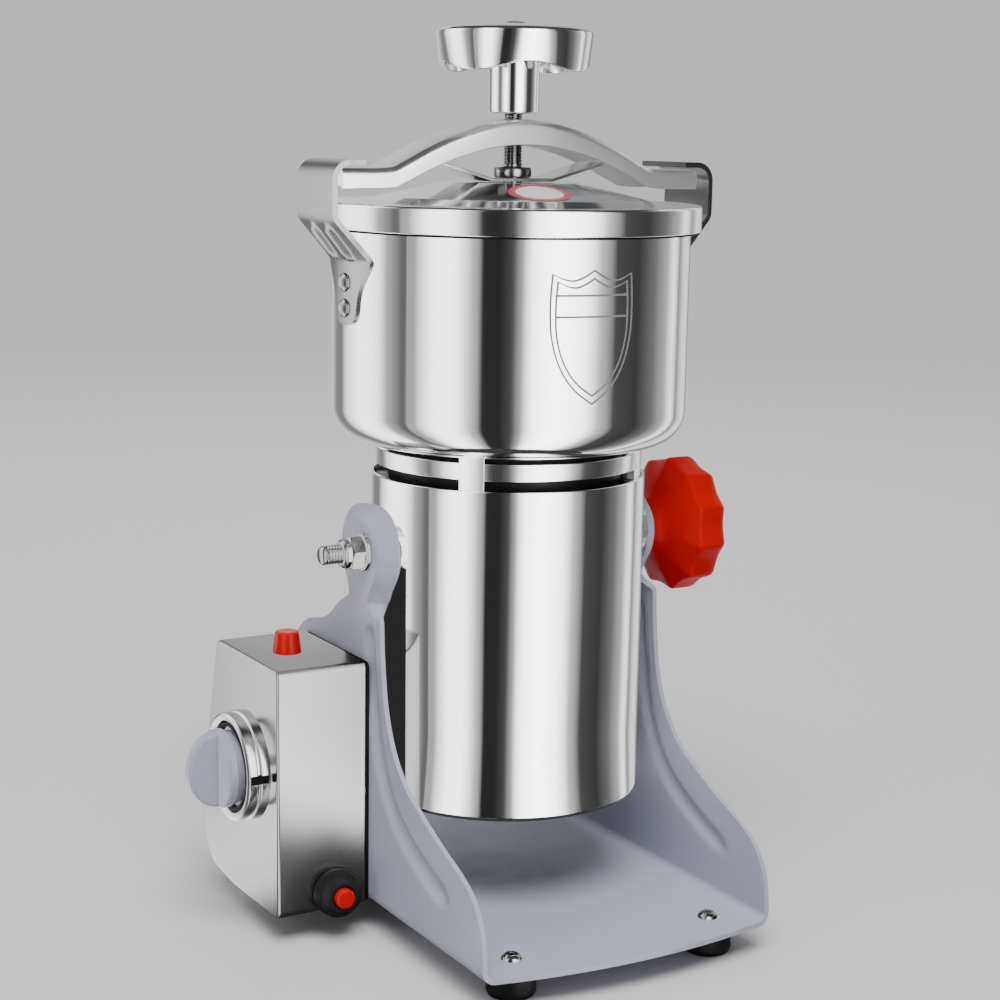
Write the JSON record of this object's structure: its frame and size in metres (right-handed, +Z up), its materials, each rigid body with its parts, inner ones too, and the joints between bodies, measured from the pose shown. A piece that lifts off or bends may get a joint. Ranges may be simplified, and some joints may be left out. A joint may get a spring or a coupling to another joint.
{
  "type": "swing-type electric hammer mill",
  "caption": "Tilting stainless hammer mill for grain: clamped bowl over an upright motor, hung in a folded steel stand with timer, reset button, star-knob lock and rubber feet.",
  "frame": {"origin": "on the floor plane, under the centre of the whole machine's box", "axes": "+X along the tilt pivot towards the star knob, -Y is the front, +Z up"},
  "size_m": [0.235, 0.208, 0.3756],
  "materials": {
    "polished_steel": "mirror-polished stainless steel",
    "brushed_steel": "fine brushed stainless steel",
    "satin_aluminium": "satin",
    "silver_paint": "smooth silver-grey powder coat",
    "zinc_plate": "bright zinc plate",
    "tool_steel": "ground",
    "laminated_iron": "stacked laminations",
    "copper": "enamelled copper wire",
    "black_rubber": "matt moulded rubber",
    "black_plastic": "fine texture",
    "grey_plastic": "satin light grey",
    "red_plastic": "gloss red",
    "red_lens": "translucent gloss red",
    "silicone": "food-grade silicone"
  },
  "bodies": {
    "stand": {"base_frame": "silver_paint", "foot_1": "black_rubber", "foot_2": "black_rubber", "foot_3": "black_rubber", "foot_4": "black_rubber", "foot_screw_1": "zinc_plate", "foot_screw_2": "zinc_plate", "foot_screw_3": "zinc_plate", "foot_screw_4": "zinc_plate", "control_box": "brushed_steel", "timer_bezel": "polished_steel", "timer_body": "black_plastic", "reset_collar": "black_rubber", "breaker_body": "black_plastic", "pilot_lamp": "red_lens", "cable_gland": "black_rubber"},
    "mill_head": {"motor_housing": "polished_steel", "bottom_cover": "black_plastic", "vent_collar": "brushed_steel", "stator_core": "laminated_iron", "field_coil_a": "copper", "field_coil_b": "copper", "bracket_lower": "satin_aluminium", "bracket_upper": "satin_aluminium", "bearing_lower": "tool_steel", "bearing_upper": "tool_steel", "brush_holder_a": "black_plastic", "brush_holder_b": "black_plastic", "bowl": "polished_steel", "hook_left": "brushed_steel", "hook_right": "brushed_steel", "rivet_left_1": "zinc_plate", "rivet_left_2": "zinc_plate", "rivet_right_1": "zinc_plate", "rivet_right_2": "zinc_plate", "pivot_stud_left": "zinc_plate", "pivot_stud_right": "zinc_plate", "pivot_spacer_left": "satin_aluminium", "pivot_spacer_right": "satin_aluminium", "pivot_washer": "zinc_plate", "pivot_nut": "zinc_plate"},
    "rotor": {"motor_shaft": "tool_steel", "rotor_core": "laminated_iron", "commutator": "copper", "cooling_fan": "black_plastic", "lower_blade": "tool_steel", "blade_spacer": "tool_steel", "upper_blade": "tool_steel", "blade_nut": "zinc_plate"},
    "yoke": {"clamp_beam": "satin_aluminium", "beam_nut": "zinc_plate"},
    "lid_set": {"lid": "polished_steel", "lid_gasket": "silicone", "pressure_plate": "brushed_steel"},
    "spindle": {"spindle_screw": "zinc_plate", "hand_wheel": "polished_steel"},
    "timer_knob": {"timer_knob": "grey_plastic", "timer_shaft": "zinc_plate"},
    "reset_button": {"reset_button": "red_plastic"},
    "clamp_knob": {"clamp_knob": "red_plastic"}
  },
  "joints": [
    {"name": "head_tilt", "type": "hinge", "parent": "stand", "child": "mill_head", "pos_m": [0.01955, 0.008, 0.1616], "axis": [1, 0, 0], "range_deg": [-60, 100]},
    {"name": "rotor_spin", "type": "hinge", "parent": "mill_head", "child": "rotor", "pos_m": [0.01955, 0.008, 0.205], "axis": [0, 0, 1], "continuous": true},
    {"name": "yoke_turn", "type": "hinge", "parent": "mill_head", "child": "yoke", "pos_m": [0.01955, 0.008, 0.3168], "axis": [0, 0, 1], "range_deg": [-90, 90]},
    {"name": "lid_lift", "type": "slide", "parent": "yoke", "child": "lid_set", "axis": [0, 0, 1], "range_m": [0, 0.00375]},
    {"name": "spindle_turn", "type": "hinge", "parent": "lid_set", "child": "spindle", "pos_m": [0.01955, 0.008, 0.3112], "axis": [0, 0, 1], "range_deg": [0, 1085]},
    {"name": "timer_turn", "type": "hinge", "parent": "stand", "child": "timer_knob", "pos_m": [-0.08995, 0.03, 0.071], "axis": [1, 0, 0], "range_deg": [0, 300]},
    {"name": "reset_press", "type": "slide", "parent": "stand", "child": "reset_button", "axis": [0, 1, 0], "range_m": [0, 0.002], "stiffness_N_per_m": 400},
    {"name": "knob_turn", "type": "hinge", "parent": "mill_head", "child": "clamp_knob", "pos_m": [0.08755, 0.008, 0.1616], "axis": [1, 0, 0], "range_deg": [0, 180]}
  ],
  "couplings": [
    {"joint": "spindle_turn", "follows": "lid_lift", "rad_per_m": 5026.5}
  ]
}
